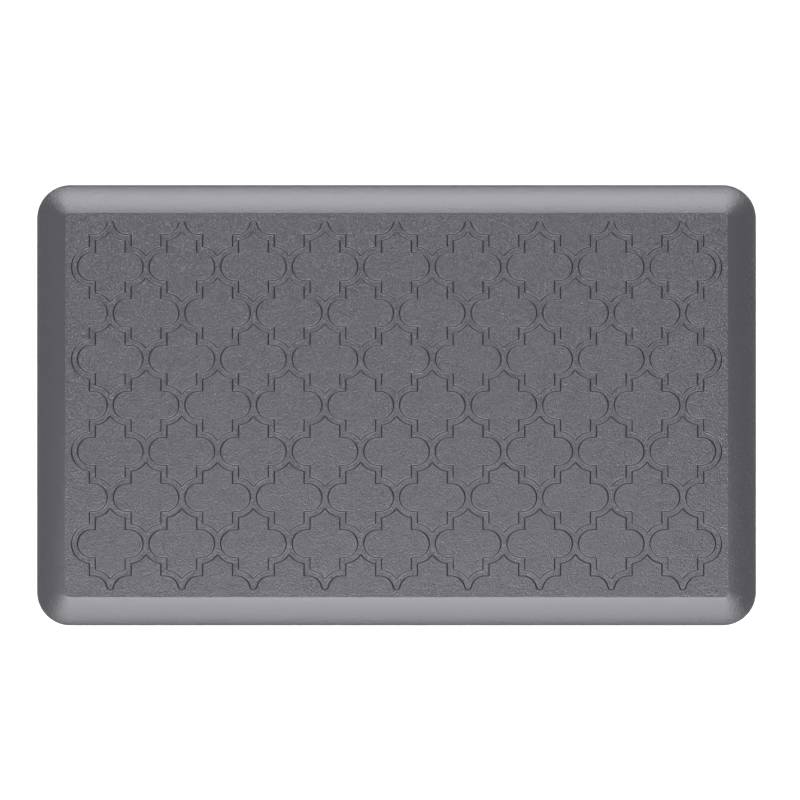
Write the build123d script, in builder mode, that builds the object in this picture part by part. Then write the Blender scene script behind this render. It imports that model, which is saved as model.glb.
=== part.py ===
from build123d import *
import os
from math import acos, asin, atan2, cos, degrees, hypot, radians, sin, sqrt

os.makedirs("parts", exist_ok=True)

# Anti fatigue mat: an embossed top skin turned down over a bevelled edge, a foam core and a
# non-slip base sheet. Millimetres, +Z up, origin on the floor under the middle of the mat.

# Whole mat
MAT_LENGTH = 914.0
MAT_WIDTH = 560.0
MAT_HEIGHT = 19.0
CORNER_RADIUS = 42.7

# Bevelled edge: an upright lip at the outline, then a convex slope up to a crisp crease
BEVEL_WIDTH = 36.3
LIP_HEIGHT = 3.0
CREASE_SLOPE = 14.0  # degrees of slope where the bevel meets the flat top

# Layers
SKIN_THICKNESS = 3.0
BASE_THICKNESS = 2.0
BASE_INSET = 3.0  # from the mat's outline to the edge of the base sheet
CORE_INSET = 7.0  # from the mat's outline to the edge of the foam

# Debossed trellis: a band of even width runs around every tile
PITCH_X = 90.8
PITCH_Y = 117.1
LOBE_RADIUS = 21.5  # middle of the band, on all four lobes of a tile
BAND_WIDTH = 7.6
GROOVE_DEPTH = 2.0
STEM_ROUND = 3.4  # on the corners of the stems that end the trellis
LONG_ROW_TILES = 9
LONG_ROWS = 4

# Grip cells: shallow lozenges sunk into the base sheet, with ribs between them
CELL_LENGTH = 60.0
CELL_BREADTH = 38.0
CELL_DEPTH = 0.8
RIB_WIDTH = 4.0
CELL_COLUMNS = 13
CELL_ROWS = 12

OVERSHOOT = 2.0  # how far cutting shapes run past the faces that they cut

# Worked out: the arc of the bevel, which passes through the lip's top and the crease
rise = MAT_HEIGHT - LIP_HEIGHT
half_turn = atan2(rise, BEVEL_WIDTH) - radians(CREASE_SLOPE)
bevel_radius = hypot(BEVEL_WIDTH, rise) / (2 * sin(half_turn))
bevel_axis_in = BEVEL_WIDTH + bevel_radius * sin(radians(CREASE_SLOPE))
bevel_axis_up = MAT_HEIGHT - bevel_radius * cos(radians(CREASE_SLOPE))

# Worked out: the corner points of a tile and of the band around it
half_band = BAND_WIDTH / 2
half_x = PITCH_X / 2
half_y = PITCH_Y / 2
step_x = PITCH_X / 4
lobe_x = half_x - LOBE_RADIUS
tight_arc = LOBE_RADIUS - half_band
wide_arc = LOBE_RADIUS + half_band
shoulder_x = step_x - half_band
step_arc_height = sqrt(wide_arc**2 - (LOBE_RADIUS - shoulder_x) ** 2)
step_arc_angle = degrees(asin((LOBE_RADIUS - shoulder_x) / wide_arc))
apex_angle = degrees(acos(LOBE_RADIUS / wide_arc))

# Worked out: the lozenge grid, whose crossings stand one rib apart
side_distance = CELL_LENGTH * CELL_BREADTH / 2 / hypot(CELL_LENGTH, CELL_BREADTH)
cell_scale = 1 + RIB_WIDTH / 2 / side_distance
cell_pitch_x = CELL_LENGTH * cell_scale
cell_pitch_y = CELL_BREADTH * cell_scale


def bevelled_slab(inset, bottom, top, arc_radius):
    """A slab inside the mat's outline, with its edge cut back by the bevel or by an arc parallel to it."""
    half_length = MAT_LENGTH / 2
    half_width = MAT_WIDTH / 2
    edge_plane = Plane(origin=(0, -half_width, 0), x_dir=(0, 1, 0), z_dir=(1, 0, 0))
    with BuildPart() as slab:
        with BuildSketch(Plane.XY.offset(bottom)):
            RectangleRounded(MAT_LENGTH - 2 * inset, MAT_WIDTH - 2 * inset, CORNER_RADIUS - inset)
        extrude(amount=top - bottom)
        with BuildLine() as outline:
            FilletPolyline(
                (0, -half_width),
                (half_length, -half_width),
                (half_length, half_width),
                (0, half_width),
                radius=CORNER_RADIUS,
            )
            mirror(about=Plane.YZ)
        with BuildSketch(edge_plane):
            with BuildLine():
                Polyline(
                    (-OVERSHOOT, 0),
                    (BEVEL_WIDTH + OVERSHOOT, 0),
                    (BEVEL_WIDTH + OVERSHOOT, MAT_HEIGHT + OVERSHOOT),
                    (-OVERSHOOT, MAT_HEIGHT + OVERSHOOT),
                    close=True,
                )
            make_face()
            with Locations((bevel_axis_in, bevel_axis_up)):
                Circle(arc_radius, mode=Mode.SUBTRACT)
        sweep(path=outline.wire(), mode=Mode.SUBTRACT)
    return slab.part


def tile_sketch():
    """The raised tile: four round lobes joined by square steps."""
    with BuildSketch() as tile:
        with BuildLine():
            CenterArc((LOBE_RADIUS, half_y), wide_arc, 180 + apex_angle, 90 - apex_angle - step_arc_angle)
            Polyline((shoulder_x, half_y - step_arc_height), (shoulder_x, tight_arc), (lobe_x, tight_arc))
            CenterArc((lobe_x, 0), tight_arc, 0, 90)
            mirror(about=Plane.XZ)
            mirror(about=Plane.YZ)
        make_face()
    return tile.sketch


def band_sketch():
    """The tile together with the band around it, and the stems that point to the next rows."""
    step_top = half_y - tight_arc
    with BuildSketch() as band:
        with BuildLine():
            Line((0, half_y), (half_band, half_y))
            CenterArc((LOBE_RADIUS, half_y), tight_arc, 180, 90)
            Polyline(
                (LOBE_RADIUS, step_top),
                (step_x + half_band, step_top),
                (step_x + half_band, step_arc_height),
            )
            CenterArc((lobe_x, 0), wide_arc, 0, 90 - step_arc_angle)
            mirror(about=Plane.XZ)
            mirror(about=Plane.YZ)
        make_face()
    return band.sketch


def tile_places():
    """Long rows with short rows of one tile fewer between them, half a pitch along."""
    long_rows = GridLocations(PITCH_X, PITCH_Y, LONG_ROW_TILES, LONG_ROWS)
    short_rows = GridLocations(PITCH_X, PITCH_Y, LONG_ROW_TILES - 1, LONG_ROWS - 1)
    return list(long_rows) + list(short_rows)


# Non-slip base sheet, which lies on the floor inside the foot of the top skin
with BuildPart() as base_skin:
    with BuildSketch():
        RectangleRounded(MAT_LENGTH - 2 * BASE_INSET, MAT_WIDTH - 2 * BASE_INSET, CORNER_RADIUS - BASE_INSET)
    extrude(amount=BASE_THICKNESS)
    with BuildSketch(Plane.XY.offset(-OVERSHOOT)):
        with Locations(
            *GridLocations(cell_pitch_x, cell_pitch_y, CELL_COLUMNS, CELL_ROWS),
            *GridLocations(cell_pitch_x, cell_pitch_y, CELL_COLUMNS - 1, CELL_ROWS - 1),
        ):
            Polygon(
                (CELL_LENGTH / 2, 0),
                (0, CELL_BREADTH / 2),
                (-CELL_LENGTH / 2, 0),
                (0, -CELL_BREADTH / 2),
            )
    extrude(amount=OVERSHOOT + CELL_DEPTH, mode=Mode.SUBTRACT)
base_skin.part.label = "base_skin"
export_step(base_skin.part, "parts/base_skin.step")

# Foam core, which fills everything between the top skin and the base sheet
with BuildPart() as foam_core:
    core_top = MAT_HEIGHT - SKIN_THICKNESS
    add(bevelled_slab(CORE_INSET, BASE_THICKNESS, core_top, bevel_radius - SKIN_THICKNESS))
foam_core.part.label = "foam_core"
export_step(foam_core.part, "parts/foam_core.step")

# Top skin: the bevelled outside of the mat, hollowed for the core and the base sheet
with BuildPart() as top_skin:
    add(bevelled_slab(0, 0, MAT_HEIGHT, bevel_radius))
    add(foam_core.part, mode=Mode.SUBTRACT)
    with BuildSketch():
        RectangleRounded(MAT_LENGTH - 2 * BASE_INSET, MAT_WIDTH - 2 * BASE_INSET, CORNER_RADIUS - BASE_INSET)
    extrude(amount=BASE_THICKNESS, mode=Mode.SUBTRACT)
    with BuildSketch(Plane.XY.offset(MAT_HEIGHT - GROOVE_DEPTH)) as grooves:
        with Locations(*tile_places()):
            add(band_sketch())
        corners_by_y = grooves.vertices().group_by(Axis.Y)
        fillet(corners_by_y[0] + corners_by_y[-1], radius=STEM_ROUND)
        with Locations(*tile_places()):
            add(tile_sketch(), mode=Mode.SUBTRACT)
    extrude(amount=GROOVE_DEPTH + OVERSHOOT, mode=Mode.SUBTRACT)
top_skin.part.label = "top_skin"
export_step(top_skin.part, "parts/top_skin.step")
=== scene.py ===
import bmesh
import bpy
import math
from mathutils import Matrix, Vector
from mathutils.geometry import delaunay_2d_cdt


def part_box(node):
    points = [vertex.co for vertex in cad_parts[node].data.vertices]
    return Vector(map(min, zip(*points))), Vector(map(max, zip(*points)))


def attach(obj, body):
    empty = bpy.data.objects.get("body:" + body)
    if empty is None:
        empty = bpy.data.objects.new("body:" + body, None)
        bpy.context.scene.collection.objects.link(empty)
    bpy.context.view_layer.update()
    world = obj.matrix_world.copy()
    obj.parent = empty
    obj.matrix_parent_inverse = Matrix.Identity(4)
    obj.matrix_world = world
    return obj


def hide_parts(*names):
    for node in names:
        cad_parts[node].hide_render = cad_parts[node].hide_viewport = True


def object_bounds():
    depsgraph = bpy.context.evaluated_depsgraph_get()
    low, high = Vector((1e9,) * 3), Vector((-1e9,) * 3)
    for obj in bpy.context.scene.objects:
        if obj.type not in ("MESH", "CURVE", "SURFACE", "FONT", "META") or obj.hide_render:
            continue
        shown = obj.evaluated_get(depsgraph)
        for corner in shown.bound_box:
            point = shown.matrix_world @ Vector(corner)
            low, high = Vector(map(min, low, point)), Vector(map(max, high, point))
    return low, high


# Anti fatigue mat, in metres: +X along the long side, +Z up, the floor at z = 0.
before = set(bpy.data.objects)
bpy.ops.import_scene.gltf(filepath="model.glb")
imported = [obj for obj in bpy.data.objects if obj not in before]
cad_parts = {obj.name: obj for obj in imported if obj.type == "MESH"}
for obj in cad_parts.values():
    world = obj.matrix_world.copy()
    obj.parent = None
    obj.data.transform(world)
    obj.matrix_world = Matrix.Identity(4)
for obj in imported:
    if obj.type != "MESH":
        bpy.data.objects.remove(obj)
cad_low, cad_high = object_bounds()

MM = 0.001

# ---------------------------------------------------------------- driving sizes
# Read from the frame
half_length = cad_high.x
half_width = cad_high.y
mat_height = cad_high.z
base_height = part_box("base_skin")[1].z
base_inset = half_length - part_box("base_skin")[1].x
core_inset = half_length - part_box("foam_core")[1].x
core_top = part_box("foam_core")[1].z

# Bevelled edge
CORNER_RADIUS = 42.7 * MM
BEVEL_WIDTH = 36.3 * MM
LIP_HEIGHT = 3.0 * MM
CREASE_SLOPE = math.radians(14.0)
CREASE_ROUND = 2.5 * MM
LIP_ROUND = 1.6 * MM
FOOT_ROUND = 0.6 * MM
CORNER_STEPS = 16
BEVEL_STEPS = 9
CREASE_STEPS = 3
LIP_STEPS = 5
FOOT_STEPS = 4

# Trellis
PITCH_X = 90.8 * MM
PITCH_Y = 117.1 * MM
LOBE_RADIUS = 21.5 * MM     # middle of the band
BAND_WIDTH = 7.6 * MM
GROOVE_DEPTH = 2.0 * MM
LONG_ROW_TILES = 9
LONG_ROWS = 4
WALL_WIDTH = 2.65 * MM      # of a groove's side wall, seen from above
WALL_SLOPE = math.radians(62.0)
WALL_STEPS = 3              # round the lip of a wall, and round its foot
WALL_EASE = 1.5             # above 1, those steps come closer together where the wall is flat
PLAN_CORNER = 0.9 * MM      # corner radius seen from above, in the middle of a wall
LEAST_CORNER = 0.15 * MM
SMALL_ARC_STEPS = 3         # round a corner of a tile
HOLLOW_STEPS = 6            # from a tile's tip to its shoulder
LOBE_STEPS = 10             # a quarter of a lobe
BULGE_STEPS = 18            # the outward half of an end lobe
GUARD = 0.3 * MM            # a last ring out on the flats, which keeps their shading flat

# Grip cells under the base sheet
CELL_LENGTH = 60.0 * MM
CELL_BREADTH = 38.0 * MM
CELL_DEPTH = 0.8 * MM
CELL_WALL = 1.2 * MM
CELL_SLOPE = math.radians(55.0)
CELL_CORNER = 3.0 * MM
RIB_WIDTH = 4.0 * MM
CELL_COLUMNS = 13
CELL_ROWS = 12
CELL_TIP_STEPS = 4          # half of a sharp corner
CELL_SIDE_STEPS = 2         # half of a blunt one
SHEET_ROUND = 0.5 * MM
SHEET_STEPS = 3

# Meshing
SHARP_ANGLE = math.radians(45.0)
SAME_PLACE = 1e-7           # metres
CDT_TRIANGLES = 1           # delaunay_2d_cdt's output type for the triangles within the outline
CDT_ACCURACY = 1e-9

# Skin
SKIN_COLOUR = (0.0669, 0.0656, 0.0714)
SKIN_ROUGHNESS = 0.23
ROUGHNESS_SPREAD = 0.04
GRAIN_STRETCH = 1.6         # the grain's cells are this much narrower along X, and longer along Y
GRAIN_SIZE = 2.0 * MM
FINE_SIZE = 1.1 * MM
FLECK_SIZE = 0.9 * MM
GRAIN_DEPTH = 0.48 * MM
BEVEL_GRAIN_DEPTH = 0.14 * MM
FINE_SHARE = 1.5            # depth of the fine grain, against the pebbles'
GRAINED_MOTTLE = 0.9        # how far the flecks stray from the skin's colour
PLAIN_MOTTLE = 0.1
GROOVE_PAINTED_SHADE = 0.3            # painted shade: colour and gloss of the steep groove sides, against the rest of the skin, lowered so the sides read as shaded lines
GROOVE_PAINTED_SHADE_GLOSS = 0.2

# Foam
FOAM_DARK = (0.17, 0.17, 0.18)
FOAM_LIGHT = (0.22, 0.22, 0.23)
FOAM_ROUGHNESS = 0.9
FOAM_CELL_SIZE = 0.9 * MM
FOAM_CELL_DEPTH = 0.3 * MM
FOAM_CELL_SMOOTHNESS = 0.2
FOAM_CLOUD_SIZE = 25.0 * MM

# Base sheet
RUBBER_DARK = (0.050, 0.050, 0.054)
RUBBER_LIGHT = (0.064, 0.064, 0.069)
RUBBER_ROUGHNESS = (0.66, 0.8)
RUBBER_GRAIN_SIZE = 0.6 * MM
RUBBER_GRAIN_DEPTH = 0.06 * MM
RUBBER_CLOUD_SIZE = 40.0 * MM

# Floor, light and camera
WHITE = (1.0, 1.0, 1.0, 1.0)
FLOOR_COLOUR = (0.9, 0.9, 0.9, 1.0)
FLOOR_ROUGHNESS = 0.9
FLOOR_GLOW = 0.5
FLOOR_RADIUS = 22.0
FLOOR_STEPS = 64
COVE_RADIUS = 5.0
COVE_STEPS = 8
WORLD_GLOW = 0.05
LAMP_DISTANCE = 2.2
LAMP_COLOUR = (0.965, 0.957, 1.0)
LAMPS = (                   # name, from and to in degrees past overhead, watts, length, degrees about Z
    ("softbox_near_high", -41.0, -10.5, 47.5, 3.0, 0.0),
    ("softbox_near_low", -67.0, -41.0, 28.7, 3.0, 0.0),
    ("softbox_far_high", 25.0, 41.0, 10.7, 3.0, 0.0),
    ("softbox_far_low", 41.0, 67.0, 41.2, 3.0, 0.0),
    ("fill_left", -62.0, -45.0, 1.0, 1.4, -90.0),
)
LENS = 300.0                # millimetres, long, so that the mat is seen square on
VIEW_WIDTH = 1.0171         # what the picture takes in across, at the floor
VIEW_CENTRE = (4.4 * MM, 6.7 * MM)

# ---------------------------------------------------------------- worked-out sizes
rise = mat_height - LIP_HEIGHT
half_turn = math.atan2(rise, BEVEL_WIDTH) - CREASE_SLOPE
bevel_radius = math.hypot(BEVEL_WIDTH, rise) / (2 * math.sin(half_turn))
bevel_axis_in = BEVEL_WIDTH + bevel_radius * math.sin(CREASE_SLOPE)
bevel_axis_up = mat_height - bevel_radius * math.cos(CREASE_SLOPE)

half_band = BAND_WIDTH / 2
half_x = PITCH_X / 2
half_y = PITCH_Y / 2
step_x = PITCH_X / 4
lobe_x = half_x - LOBE_RADIUS
last_column = (LONG_ROW_TILES - 1) / 2 * PITCH_X
last_row = (LONG_ROWS - 1) / 2 * PITCH_Y

side_distance = CELL_LENGTH * CELL_BREADTH / 2 / math.hypot(CELL_LENGTH, CELL_BREADTH)
cell_scale = 1 + RIB_WIDTH / 2 / side_distance
cell_pitch_x = CELL_LENGTH * cell_scale
cell_pitch_y = CELL_BREADTH * cell_scale


# ---------------------------------------------------------------- outlines, seen from above
def arc(cx, cy, radius, start, end, steps):
    """Points along an arc from one angle to another, both ends included."""
    turns = [start + (end - start) * i / steps for i in range(steps + 1)]
    return [(cx + radius * math.cos(t), cy + radius * math.sin(t)) for t in turns]


def placed(points, cx=0.0, cy=0.0, sx=1, sy=1, backwards=False):
    """A run of points mirrored by its signs and moved, and reversed if asked."""
    moved = [(cx + sx * x, cy + sy * y) for x, y in points]
    return moved[::-1] if backwards else moved


def without_repeats(points):
    """A closed outline with no two neighbours in the same place."""
    return [p for p, q in zip(points, points[-1:] + points[:-1]) if math.dist(p, q) > SAME_PLACE]


def mirrored_twice(quarter):
    """A closed outline from its first quadrant, which runs from the Y axis to the X axis."""
    right = quarter + placed(quarter, sy=-1, backwards=True)
    return without_repeats(right + placed(right, sx=-1, backwards=True))


def rounded_rectangle(inset):
    """The mat's outline moved inwards."""
    cx = half_length - CORNER_RADIUS
    cy = half_width - CORNER_RADIUS
    return mirrored_twice(arc(cx, cy, CORNER_RADIUS - inset, math.pi / 2, 0, CORNER_STEPS))


# A tile and a trellis outline take the distance out from the middle of the band, so that one family of
# outlines gives both edges of a groove and every ring down its walls.
def convex_round(reach):
    """The radius of a tile's outward corner."""
    return max(PLAN_CORNER + half_band - reach, LEAST_CORNER)


def concave_round(reach):
    """The radius of a tile's inward corner."""
    return max(PLAN_CORNER - half_band + reach, LEAST_CORNER)


def shoulder(reach):
    """The middle of the shoulder's rounding, and the direction from it to the middle of the hollow arc."""
    x = step_x - reach - convex_round(reach)
    drop = math.sqrt((LOBE_RADIUS + reach + convex_round(reach)) ** 2 - (LOBE_RADIUS - x) ** 2)
    return x, half_y - drop, math.atan2(drop, LOBE_RADIUS - x)


def tile_tip(reach):
    """From the tip of a tile down its hollow arc to the shoulder, in the first quadrant."""
    rounding = convex_round(reach)
    drop = math.sqrt((LOBE_RADIUS + reach + rounding) ** 2 - LOBE_RADIUS**2)
    turn = math.atan2(drop, LOBE_RADIUS)
    tip = arc(0, half_y - drop, rounding, math.pi / 2, turn, SMALL_ARC_STEPS)
    end = math.pi + shoulder(reach)[2]
    return tip + arc(LOBE_RADIUS, half_y, LOBE_RADIUS + reach, math.pi + turn, end, HOLLOW_STEPS)


def tile_side(reach, lobe_end=0.0):
    """From the shoulder down the square step and round the lobe to the X axis, or short of it."""
    x, y, turn = shoulder(reach)
    inner = concave_round(reach)
    corner_x = step_x - reach + inner
    corner_y = LOBE_RADIUS - reach + inner
    points = arc(x, y, convex_round(reach), turn, 0, SMALL_ARC_STEPS)
    points += arc(corner_x, corner_y, inner, math.pi, 1.5 * math.pi, SMALL_ARC_STEPS)
    return points + arc(lobe_x, 0, LOBE_RADIUS - reach, math.pi / 2, lobe_end, LOBE_STEPS)


def tile_outline(reach):
    """A whole tile."""
    return mirrored_twice(tile_tip(reach) + tile_side(reach))


def trellis_outline(reach):
    """The outer edge of the trellis: it follows the missing tiles, with a round stem between them."""
    tight = LOBE_RADIUS - half_band
    cap_drop = (LOBE_RADIUS**2 - tight**2) / (2 * tight)
    cap_turn = math.atan2(cap_drop, LOBE_RADIUS)
    cap_radius = cap_drop + reach - half_band
    stem_y = last_row + half_y
    tip = tile_tip(reach)
    side = tile_side(reach, cap_turn)
    gap = tile_side(reach)
    bulge_turn = shoulder(reach)[2]
    quarter = arc(0, stem_y - cap_drop, cap_radius, math.pi / 2, cap_turn, SMALL_ARC_STEPS)
    for i in range(LONG_ROW_TILES // 2):
        x = (i + 0.5) * PITCH_X
        quarter += placed(side, x, stem_y, -1, -1, backwards=True)
        quarter += placed(tip, x, stem_y, -1, -1, backwards=True)
        quarter += placed(tip, x, stem_y, 1, -1)
        quarter += placed(side, x, stem_y, 1, -1)
        cap = arc(0, stem_y - cap_drop, cap_radius, math.pi - cap_turn, cap_turn, 2 * SMALL_ARC_STEPS)
        quarter += placed(cap, x + half_x)
    quarter += placed(side, last_column + half_x, stem_y, -1, -1, backwards=True)
    for j in range(LONG_ROWS // 2):
        y = last_row - j * PITCH_Y
        bulge = arc(lobe_x, y, LOBE_RADIUS + reach, bulge_turn, -bulge_turn, BULGE_STEPS)
        quarter += placed(bulge, last_column)
        quarter += placed(gap, last_column + half_x, y - half_y, -1, 1)
        if j < LONG_ROWS // 2 - 1:
            quarter += placed(gap, last_column + half_x, y - half_y, -1, -1, backwards=True)
    return mirrored_twice(quarter)


def grid(columns, rows, pitch_x, pitch_y):
    """The places of a centred grid."""
    xs = [(i - (columns - 1) / 2) * pitch_x for i in range(columns)]
    ys = [(j - (rows - 1) / 2) * pitch_y for j in range(rows)]
    return [(x, y) for x in xs for y in ys]


def interleaved(columns, rows, pitch_x, pitch_y):
    """A grid, and a second one of one fewer each way in its gaps."""
    return grid(columns, rows, pitch_x, pitch_y) + grid(columns - 1, rows - 1, pitch_x, pitch_y)


def cell_outline(inset):
    """A lozenge with rounded corners, moved inwards."""
    turn = math.atan2(CELL_BREADTH, CELL_LENGTH)
    rounding = CELL_CORNER - inset
    tip_x = CELL_LENGTH / 2 - CELL_CORNER / math.sin(turn)
    tip_y = CELL_BREADTH / 2 - CELL_CORNER / math.cos(turn)
    top = arc(0, tip_y, rounding, math.pi / 2, math.pi / 2 - turn, CELL_SIDE_STEPS)
    return mirrored_twice(top + arc(tip_x, 0, rounding, math.pi / 2 - turn, 0, CELL_TIP_STEPS))


# ---------------------------------------------------------------- sections
def wall_section(width, depth, slope):
    """(distance towards the high flat, drop) down a wall with a round lip and a round foot."""
    across = 2 * math.sin(slope)
    down = 2 * (1 - math.cos(slope))
    radius = (width * math.sin(slope) - depth * math.cos(slope)) / (
        across * math.sin(slope) - down * math.cos(slope)
    )
    turns = [slope * (i / WALL_STEPS) ** WALL_EASE for i in range(WALL_STEPS + 1)]
    lip = [(width / 2 - radius * math.sin(t), radius * (1 - math.cos(t))) for t in turns]
    foot = [(-offset, depth - drop) for offset, drop in reversed(lip)]
    return [(width / 2 + GUARD, 0.0)] + lip + foot + [(-width / 2 - GUARD, depth)]


def bevel_point(radius, slope):
    """(inset, height) on an arc about the bevel's axis, where the surface slopes that much."""
    return bevel_axis_in - radius * math.sin(slope), bevel_axis_up + radius * math.cos(slope)


def slopes_between(first, last, steps):
    """Evenly spaced slopes, both ends included."""
    return [first + (last - first) * i / steps for i in range(steps + 1)]


def edge_section():
    """(inset, height) from the flat top over the bevel and the lip, round the foot and in under the skin."""
    crease_up = mat_height - CREASE_ROUND - bevel_axis_up
    crease_slope = math.acos(crease_up / (bevel_radius - CREASE_ROUND))
    crease_in = bevel_point(bevel_radius - CREASE_ROUND, crease_slope)[0]
    lip_slope = math.asin((bevel_axis_in - LIP_ROUND) / (bevel_radius - LIP_ROUND))
    lip_up = bevel_point(bevel_radius - LIP_ROUND, lip_slope)[1]
    section = [(crease_in + GUARD, mat_height)]
    for slope in slopes_between(0, crease_slope, CREASE_STEPS):
        height = mat_height - CREASE_ROUND + CREASE_ROUND * math.cos(slope)
        section.append((crease_in - CREASE_ROUND * math.sin(slope), height))
    for slope in slopes_between(crease_slope, lip_slope, BEVEL_STEPS)[1:]:
        section.append(bevel_point(bevel_radius, slope))
    for slope in slopes_between(lip_slope, math.pi / 2, LIP_STEPS)[1:]:
        section.append((LIP_ROUND * (1 - math.sin(slope)), lip_up + LIP_ROUND * math.cos(slope)))
    for slope in slopes_between(0, math.pi / 2, FOOT_STEPS):
        section.append((FOOT_ROUND * (1 - math.cos(slope)), FOOT_ROUND * (1 - math.sin(slope))))
    return section


def core_section():
    """(inset, height) up the side of the foam and in along its bevel to its flat top."""
    skin = mat_height - core_top
    side_slope = math.asin((bevel_axis_in - core_inset) / (bevel_radius - skin))
    top_slope = math.acos((core_top - bevel_axis_up) / (bevel_radius - skin))
    return [bevel_point(bevel_radius - skin, s) for s in slopes_between(side_slope, top_slope, BEVEL_STEPS)]


# ---------------------------------------------------------------- mesh building
class Shell:
    """The points and faces of one closed piece, built up from level loops of points."""

    def __init__(self):
        self.points = []
        self.faces = []
        self.finishes = []

    def loop(self, outline, z):
        """Adds a closed outline at a height, and returns the numbers of its points."""
        first = len(self.points)
        self.points += [(x, y, z) for x, y in outline]
        return list(range(first, len(self.points)))

    def add_face(self, corners, finish):
        self.faces.append(corners)
        self.finishes.append(finish)

    def strip(self, a, b, finish=0):
        """Joins two loops of equal length."""
        for i in range(len(a)):
            j = (i + 1) % len(a)
            self.add_face((a[i], a[j], b[j], b[i]), finish)

    def stack(self, loops, finish=0):
        for a, b in zip(loops, loops[1:]):
            self.strip(a, b, finish)

    def fill(self, outer, holes=(), finish=0):
        """Flat triangles from an outer loop in to any holes, but not inside them."""
        numbers = []
        flat = []
        edges = []
        owner = []
        rings = []
        for k, loop in enumerate([outer, *holes]):
            first = len(numbers)
            ring = [Vector(self.points[n][:2]) for n in loop]
            numbers += loop
            flat += ring
            owner += [k] * len(loop)
            rings.append(ring)
            edges += [(first + i, first + (i + 1) % len(loop)) for i in range(len(loop))]
        made = delaunay_2d_cdt(flat, edges, [], CDT_TRIANGLES, CDT_ACCURACY)
        source = [origins[0] for origins in made[3]]
        for triangle in made[2]:
            a, b, c = (source[i] for i in triangle)
            ring = owner[a]
            middle = (flat[a] + flat[b] + flat[c]) / 3
            in_hole = ring > 0 and owner[b] == ring and owner[c] == ring and inside(middle, rings[ring])
            if not in_hole:
                self.add_face((numbers[a], numbers[b], numbers[c]), finish)

    def piece(self, name, materials):
        """Makes the Blender object, with its faces turned outwards and its hard edges kept."""
        mesh = bpy.data.meshes.new(name)
        mesh.from_pydata(self.points, [], self.faces)
        for material in materials:
            mesh.materials.append(material)
        mesh.polygons.foreach_set("material_index", self.finishes)
        whole = bmesh.new()
        whole.from_mesh(mesh)
        bmesh.ops.recalc_face_normals(whole, faces=whole.faces)
        whole.to_mesh(mesh)
        whole.free()
        mesh.shade_smooth()
        mesh.set_sharp_from_angle(angle=SHARP_ANGLE)
        made = bpy.data.objects.new(name, mesh)
        bpy.context.scene.collection.objects.link(made)
        return made


def inside(point, ring):
    """Whether a point is inside a closed ring of points."""
    crossings = 0
    for a, b in zip(ring, ring[1:] + ring[:1]):
        if (a.y > point.y) != (b.y > point.y):
            crossings += point.x < a.x + (point.y - a.y) / (b.y - a.y) * (b.x - a.x)
    return crossings % 2 == 1


# ---------------------------------------------------------------- materials
class Nodes:
    """A material under construction, whose patterns all lie in the object's own stretched coordinates."""

    def __init__(self, name):
        self.material = bpy.data.materials.new(name)
        self.material.use_nodes = True
        self.tree = self.material.node_tree
        self.shader = self.tree.nodes["Principled BSDF"]
        whole = self.add("ShaderNodeTexCoord").outputs["Object"]
        stretch = {0: whole, 1: (GRAIN_STRETCH, 1 / GRAIN_STRETCH, 1.0)}
        self.place = self.add("ShaderNodeVectorMath", stretch, operation="MULTIPLY").outputs["Vector"]

    def add(self, kind, inputs=None, **settings):
        """Adds a node, and sets or links its inputs."""
        node = self.tree.nodes.new(kind)
        for key, value in settings.items():
            setattr(node, key, value)
        for key, value in (inputs or {}).items():
            if isinstance(value, bpy.types.NodeSocket):
                self.tree.links.new(value, node.inputs[key])
            else:
                node.inputs[key].default_value = value
        return node

    def noise(self, size, detail=2.0):
        """Cloudy noise from 0 to 1, with features about that large."""
        inputs = {"Vector": self.place, "Scale": 1 / size, "Detail": detail}
        return self.add("ShaderNodeTexNoise", inputs).outputs["Fac"]

    def pebbles(self, size, smoothness=0.5):
        """Distance from the middle of each cell, for rounded pebbles about that large."""
        inputs = {"Vector": self.place, "Scale": 1 / size, "Smoothness": smoothness}
        return self.add("ShaderNodeTexVoronoi", inputs, feature="SMOOTH_F1").outputs["Distance"]

    def spread(self, value, low, high):
        """Maps 0..1 onto low..high."""
        inputs = {"Value": value, "To Min": low, "To Max": high}
        return self.add("ShaderNodeMapRange", inputs).outputs["Result"]

    def bump(self, height, depth, normal=None):
        """Relief of that depth, on top of an earlier one if there is one."""
        inputs = {"Height": height, "Distance": depth, "Strength": 1.0}
        if normal:
            inputs["Normal"] = normal
        return self.add("ShaderNodeBump", inputs).outputs["Normal"]

    def tint(self, factor, dark, light):
        """Blends two colours. A Mix node's sockets share their names, so the enabled ones are picked."""
        mix = self.add("ShaderNodeMix", data_type="RGBA")
        blend, first, second = [socket for socket in mix.inputs if socket.enabled]
        self.tree.links.new(factor, blend)
        first.default_value = (*dark, 1.0)
        second.default_value = (*light, 1.0)
        return next(socket for socket in mix.outputs if socket.enabled)

    def set(self, **inputs):
        """Sets or links the shader's own inputs; underscores stand for spaces."""
        for key, value in inputs.items():
            socket = self.shader.inputs[key.replace("_", " ")]
            if isinstance(value, bpy.types.NodeSocket):
                self.tree.links.new(value, socket)
            else:
                socket.default_value = value


def skin_material(name, grain_depth, mottle, shade=1.0, gloss=1.0):
    """Satin grey polyurethane with a fine pebble grain pressed in by the mould; shade and gloss below 1
    paint shade by darkening its colour and reflection.
    """
    nodes = Nodes(name)
    pebbles = nodes.pebbles(GRAIN_SIZE)
    fine = nodes.noise(FINE_SIZE, detail=0.0)
    flecks = nodes.noise(FLECK_SIZE, detail=0.0)
    dark = [c * shade * (1 - mottle) for c in SKIN_COLOUR]
    light = [c * shade * (1 + mottle) for c in SKIN_COLOUR]
    relief = nodes.bump(pebbles, -grain_depth)
    relief = nodes.bump(fine, grain_depth * FINE_SHARE, relief)
    nodes.set(
        Base_Color=nodes.tint(flecks, dark, light),
        Roughness=nodes.spread(fine, SKIN_ROUGHNESS - ROUGHNESS_SPREAD, SKIN_ROUGHNESS + ROUGHNESS_SPREAD),
        Specular_IOR_Level=gloss,
        Normal=relief,
    )
    return nodes.material


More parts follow.
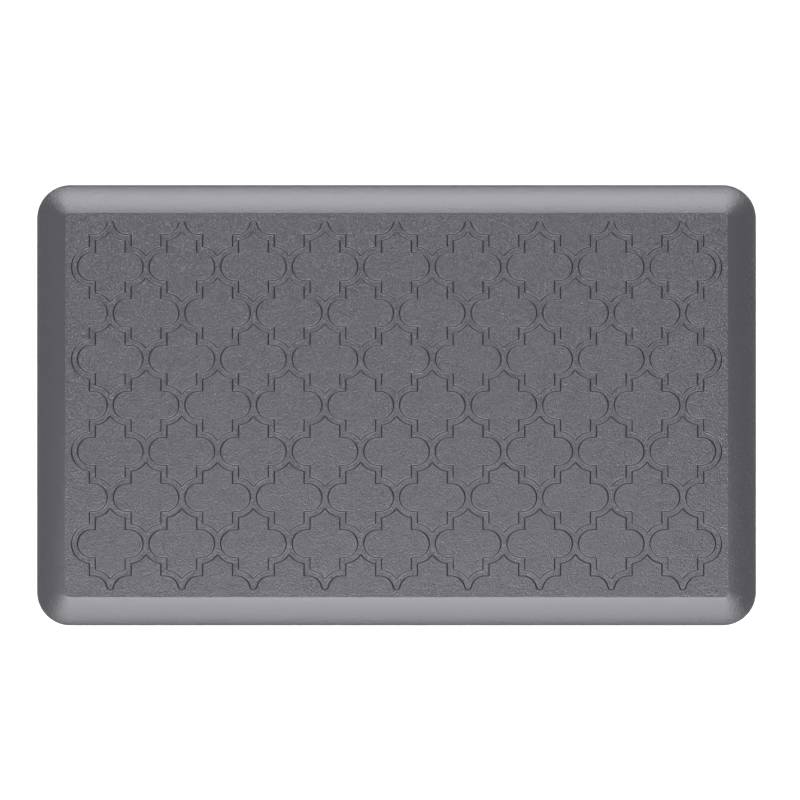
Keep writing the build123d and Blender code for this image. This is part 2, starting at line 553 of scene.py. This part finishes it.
def foam_material():
    """Open-celled grey foam."""
    nodes = Nodes("foam")
    cells = nodes.pebbles(FOAM_CELL_SIZE, smoothness=FOAM_CELL_SMOOTHNESS)
    clouds = nodes.noise(FOAM_CLOUD_SIZE)
    nodes.set(
        Base_Color=nodes.tint(clouds, FOAM_DARK, FOAM_LIGHT),
        Roughness=FOAM_ROUGHNESS,
        Normal=nodes.bump(cells, FOAM_CELL_DEPTH),
    )
    return nodes.material


def base_material():
    """Matte dark rubber sheet."""
    nodes = Nodes("base_rubber")
    fine = nodes.noise(RUBBER_GRAIN_SIZE, detail=3.0)
    clouds = nodes.noise(RUBBER_CLOUD_SIZE)
    nodes.set(
        Base_Color=nodes.tint(clouds, RUBBER_DARK, RUBBER_LIGHT),
        Roughness=nodes.spread(fine, *RUBBER_ROUGHNESS),
        Normal=nodes.bump(fine, RUBBER_GRAIN_DEPTH),
    )
    return nodes.material


# ---------------------------------------------------------------- pieces
def make_top_skin():
    """The embossed skin, down over the bevel to its foot, and its hollow underside."""
    grained, plain, painted_shade_side = range(3)     # finishes, in the order of the materials at the end
    shell = Shell()

    def groove_side(loops):
        """From the high flat down to the groove, with shade painted on the steep middle of the wall as a
        darker, less glossy colour.
        """
        shell.stack(loops[:2], grained)
        shell.stack(loops[1:WALL_STEPS + 1], plain)
        # painted shade: the steep middle of each groove wall gets the darker, less glossy skin
        shell.stack(loops[WALL_STEPS:-WALL_STEPS], painted_shade_side)
        shell.stack(loops[-WALL_STEPS - 1:-1], plain)
        shell.stack(loops[-2:], grained)

    edge = [shell.loop(rounded_rectangle(inset), z) for inset, z in edge_section()]
    shell.stack(edge, plain)
    hollow = [(base_inset, 0.0), (base_inset, base_height), (core_inset, base_height), *core_section()]
    within = [shell.loop(rounded_rectangle(inset), z) for inset, z in hollow]
    shell.stack([edge[-1], *within], plain)
    shell.fill(within[-1], finish=plain)

    section = wall_section(WALL_WIDTH, GROOVE_DEPTH, WALL_SLOPE)
    walls = [(half_band + out, mat_height - drop) for out, drop in section]
    rim = [shell.loop(trellis_outline(reach), z) for reach, z in walls]
    groove_side(rim)
    shell.fill(edge[0], [rim[0]], grained)
    feet = []
    for place in interleaved(LONG_ROW_TILES, LONG_ROWS, PITCH_X, PITCH_Y):
        tile = [shell.loop(placed(tile_outline(reach), *place), z) for reach, z in walls]
        groove_side(tile)
        shell.fill(tile[0], finish=grained)
        feet.append(tile[-1])
    shell.fill(rim[-1], feet, grained)
    materials = [
        skin_material("skin_grained", GRAIN_DEPTH, GRAINED_MOTTLE),
        skin_material("skin_bevel", BEVEL_GRAIN_DEPTH, PLAIN_MOTTLE),
        # painted shade on the steep groove sides: a darker, less glossy copy of the skin
        skin_material("skin_groove_side_painted_shade", BEVEL_GRAIN_DEPTH, PLAIN_MOTTLE, GROOVE_PAINTED_SHADE, GROOVE_PAINTED_SHADE_GLOSS),
    ]
    return shell.piece("embossed_top_skin", materials)


def make_foam_core():
    """The cushion inside, which fills the skin."""
    shell = Shell()
    section = [(core_inset, base_height), *core_section()]
    loops = [shell.loop(rounded_rectangle(inset), z) for inset, z in section]
    shell.stack(loops)
    shell.fill(loops[0])
    shell.fill(loops[-1])
    return shell.piece("foam_cushion", [foam_material()])


def make_base_skin():
    """The sheet underneath, with its edge rounded off and grip cells sunk into it from below."""
    shell = Shell()
    rim = [(base_inset, base_height)]
    for turn in slopes_between(0, math.pi / 2, SHEET_STEPS):
        rim.append((base_inset + SHEET_ROUND * (1 - math.cos(turn)), SHEET_ROUND * (1 - math.sin(turn))))
    rim.append((base_inset + SHEET_ROUND + GUARD, 0.0))
    loops = [shell.loop(rounded_rectangle(inset), z) for inset, z in rim]
    shell.stack(loops)
    shell.fill(loops[0])
    mouths = []
    walls = wall_section(CELL_WALL, CELL_DEPTH, CELL_SLOPE)
    for place in interleaved(CELL_COLUMNS, CELL_ROWS, cell_pitch_x, cell_pitch_y):
        cell = [shell.loop(placed(cell_outline(-out), *place), drop) for out, drop in walls]
        shell.stack(cell)
        shell.fill(cell[-1])
        mouths.append(cell[0])
    shell.fill(loops[-1], mouths)
    return shell.piece("grip_base_sheet", [base_material()])


top_skin = make_top_skin()
foam_core = make_foam_core()
base_skin = make_base_skin()
for piece, node, slot in (
    (top_skin, "top_skin", "top_skin"),
    (foam_core, "foam_core", "foam"),
    (base_skin, "base_skin", "base_skin"),
):
    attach(piece, "root")
    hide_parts(node)


# ---------------------------------------------------------------- floor, light and camera
def make_floor():
    """A wide pale floor whose edge rises into a backdrop."""
    nodes = Nodes("studio_white")
    nodes.set(
        Base_Color=FLOOR_COLOUR,
        Roughness=FLOOR_ROUGHNESS,
        Emission_Color=WHITE,
        Emission_Strength=FLOOR_GLOW,
    )
    shell = Shell()
    loops = []
    for turn in slopes_between(0, math.pi / 2, COVE_STEPS):
        radius = FLOOR_RADIUS + COVE_RADIUS * math.sin(turn)
        circle = without_repeats(arc(0, 0, radius, 0, 2 * math.pi, FLOOR_STEPS))
        loops.append(shell.loop(circle, COVE_RADIUS * (1 - math.cos(turn))))
    shell.stack(loops)
    shell.fill(loops[0])
    floor = shell.piece("studio_floor", [nodes.material])


def softbox(name, low, high, energy, length, turn):
    """A rectangular lamp facing the mat, between two angles from overhead towards +Y, turned about Z."""
    middle = math.radians((low + high) / 2)
    bearing = math.radians(turn)
    lamp = bpy.data.lights.new(name, "AREA")
    lamp.shape = "RECTANGLE"
    lamp.size = length
    lamp.size_y = 2 * LAMP_DISTANCE * math.tan(math.radians(high - low) / 2)
    lamp.energy = energy
    lamp.color = LAMP_COLOUR
    holder = bpy.data.objects.new(name, lamp)
    away = LAMP_DISTANCE * math.sin(middle)
    holder.location = (-away * math.sin(bearing), away * math.cos(bearing), LAMP_DISTANCE * math.cos(middle))
    holder.rotation_euler = holder.location.to_track_quat("Z", "Y").to_euler()
    bpy.context.scene.collection.objects.link(holder)


def make_world():
    """A faint even glow from all sides."""
    world = bpy.data.worlds.new("studio")
    world.use_nodes = True
    background = world.node_tree.nodes["Background"]
    background.inputs["Color"].default_value = WHITE
    background.inputs["Strength"].default_value = WORLD_GLOW
    bpy.context.scene.world = world


camera_data = bpy.data.cameras.new("camera")
camera_data.lens = LENS
camera = bpy.data.objects.new("camera", camera_data)
camera.location = (*VIEW_CENTRE, VIEW_WIDTH * LENS / camera_data.sensor_width)
bpy.context.scene.collection.objects.link(camera)
bpy.context.scene.camera = camera
bpy.context.scene.view_settings.view_transform = "Standard"

make_floor()
make_world()
for lamp in LAMPS:
    softbox(*lamp)
